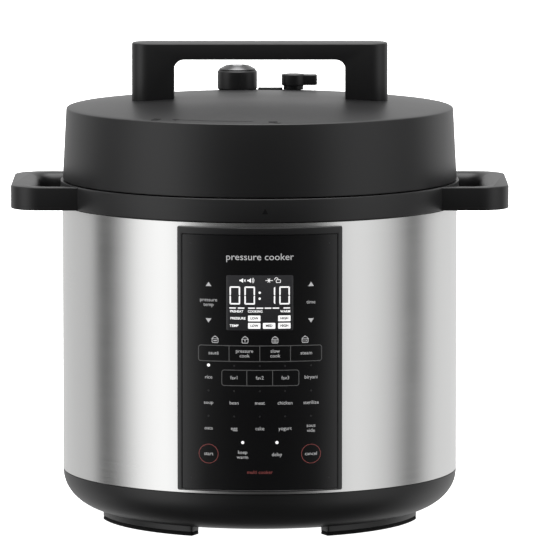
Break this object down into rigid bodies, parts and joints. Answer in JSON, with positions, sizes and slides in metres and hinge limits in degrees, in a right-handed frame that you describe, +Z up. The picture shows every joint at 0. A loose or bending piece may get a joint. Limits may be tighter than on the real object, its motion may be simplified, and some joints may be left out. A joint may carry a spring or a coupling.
{
  "type": "electric pressure cooker",
  "caption": "Round countertop pressure cooker: steel body on a black bowl base, curved control panel, side lugs, lift-off locking lid with bridge handle and steam valve.",
  "frame": {"origin": "on the table at the centre of the footprint, on the cooker's upright axis", "axes": "+Z up, -Y towards the control panel at the front, +X along the lid handle and the side lugs"},
  "size_m": [0.3406, 0.2855, 0.3281],
  "materials": {
    "brushed_steel": "fine brushing round the body",
    "polished_steel": "smooth stainless steel",
    "plated_steel": "zinc plated",
    "cast_aluminium": "cast, lightly ground",
    "black_plastic": "satin moulded, fine texture",
    "gloss_panel": "glossy printed film",
    "grey_plastic": "moulded",
    "smoky_plastic": "smoky clear moulding",
    "black_rubber": "matt",
    "white_silicone": "translucent matt",
    "red_silicone": "matt",
    "circuit_board": "green solder mask",
    "copper": "bare copper",
    "cable_sleeve": "soft sleeve"
  },
  "bodies": {
    "housing": {"outer_shell": "brushed_steel", "top_collar": "black_plastic", "cooker_base": "black_plastic", "foot_pad_front_right": "black_rubber", "foot_pad_rear_right": "black_rubber", "foot_pad_rear_left": "black_rubber", "foot_pad_front_left": "black_rubber", "base_screw_front_right": "plated_steel", "base_screw_rear_right": "plated_steel", "base_screw_rear_left": "plated_steel", "base_screw_front_left": "plated_steel", "locking_ring": "plated_steel", "heat_shield": "cast_aluminium", "spring_plate": "plated_steel", "heating_plate": "cast_aluminium", "heater_terminal_left": "copper", "heater_terminal_right": "copper", "sensor_sleeve": "grey_plastic", "sensor_spring": "polished_steel", "thermal_fuse": "plated_steel", "pressure_switch": "grey_plastic", "power_board": "circuit_board", "transformer": "grey_plastic", "heater_relay": "black_plastic", "filter_capacitor": "cable_sleeve", "terminal_block": "grey_plastic", "panel_frame": "black_plastic", "panel_overlay": "gloss_panel", "display_module": "gloss_panel", "touch_board": "circuit_board", "beeper": "cable_sleeve", "panel_cable": "cable_sleeve", "power_inlet": "black_plastic", "inlet_pin_live": "polished_steel", "inlet_pin_earth": "polished_steel", "inlet_pin_neutral": "polished_steel", "mains_lead": "cable_sleeve", "cup_bracket": "black_plastic"},
    "inner_pot": {"inner_pot": "polished_steel"},
    "seal": {"sealing_ring": "white_silicone"},
    "lid": {"lid_plate": "polished_steel", "ring_rack": "polished_steel", "lid_cover": "black_plastic", "lid_under_ring": "black_plastic", "lid_handle": "black_plastic", "handle_screw_right": "plated_steel", "handle_screw_left": "plated_steel", "centre_bolt": "polished_steel", "steam_pipe": "polished_steel", "steam_filter": "polished_steel"},
    "steam_valve": {"valve_weight": "black_plastic", "valve_cap": "polished_steel", "lift_arm": "grey_plastic"},
    "lever": {"release_lever": "black_plastic", "lever_shaft": "grey_plastic"},
    "float_valve": {"float_pin": "polished_steel", "float_plug": "red_silicone"},
    "sensor": {"sensor_cap": "cast_aluminium"},
    "cup": {"condensate_cup": "smoky_plastic"}
  },
  "joints": [
    {"name": "pot_lift", "type": "slide", "parent": "housing", "child": "inner_pot", "axis": [0, 0, 1], "range_m": [0, 0.22]},
    {"name": "lid_lift", "type": "slide", "parent": "inner_pot", "child": "seal", "axis": [0, 0, 1], "range_m": [0, 0.14]},
    {"name": "lid_turn", "type": "hinge", "parent": "seal", "child": "lid", "pos_m": [0, 0, 0.2343], "axis": [0, 0, 1], "range_deg": [0, 30]},
    {"name": "lever_turn", "type": "hinge", "parent": "lid", "child": "lever", "pos_m": [0.0236, 0.078, 0.2885], "axis": [0, 0, 1], "range_deg": [0, 60]},
    {"name": "valve_lift", "type": "slide", "parent": "lid", "child": "steam_valve", "axis": [0, 0, 1], "range_m": [0, 0.003]},
    {"name": "float_lift", "type": "slide", "parent": "lid", "child": "float_valve", "axis": [0, 0, 1], "range_m": [0, 0.0055]},
    {"name": "sensor_press", "type": "slide", "parent": "housing", "child": "sensor", "axis": [0, 0, 1], "range_m": [-0.003, 0], "stiffness_N_per_m": 400, "springref_m": 0.002},
    {"name": "cup_slide", "type": "slide", "parent": "housing", "child": "cup", "axis": [0, 0, -1], "range_m": [0, 0.05]}
  ],
  "couplings": [
    {"joint": "valve_lift", "follows": "lever_turn", "m_per_rad": 0.0028648}
  ]
}
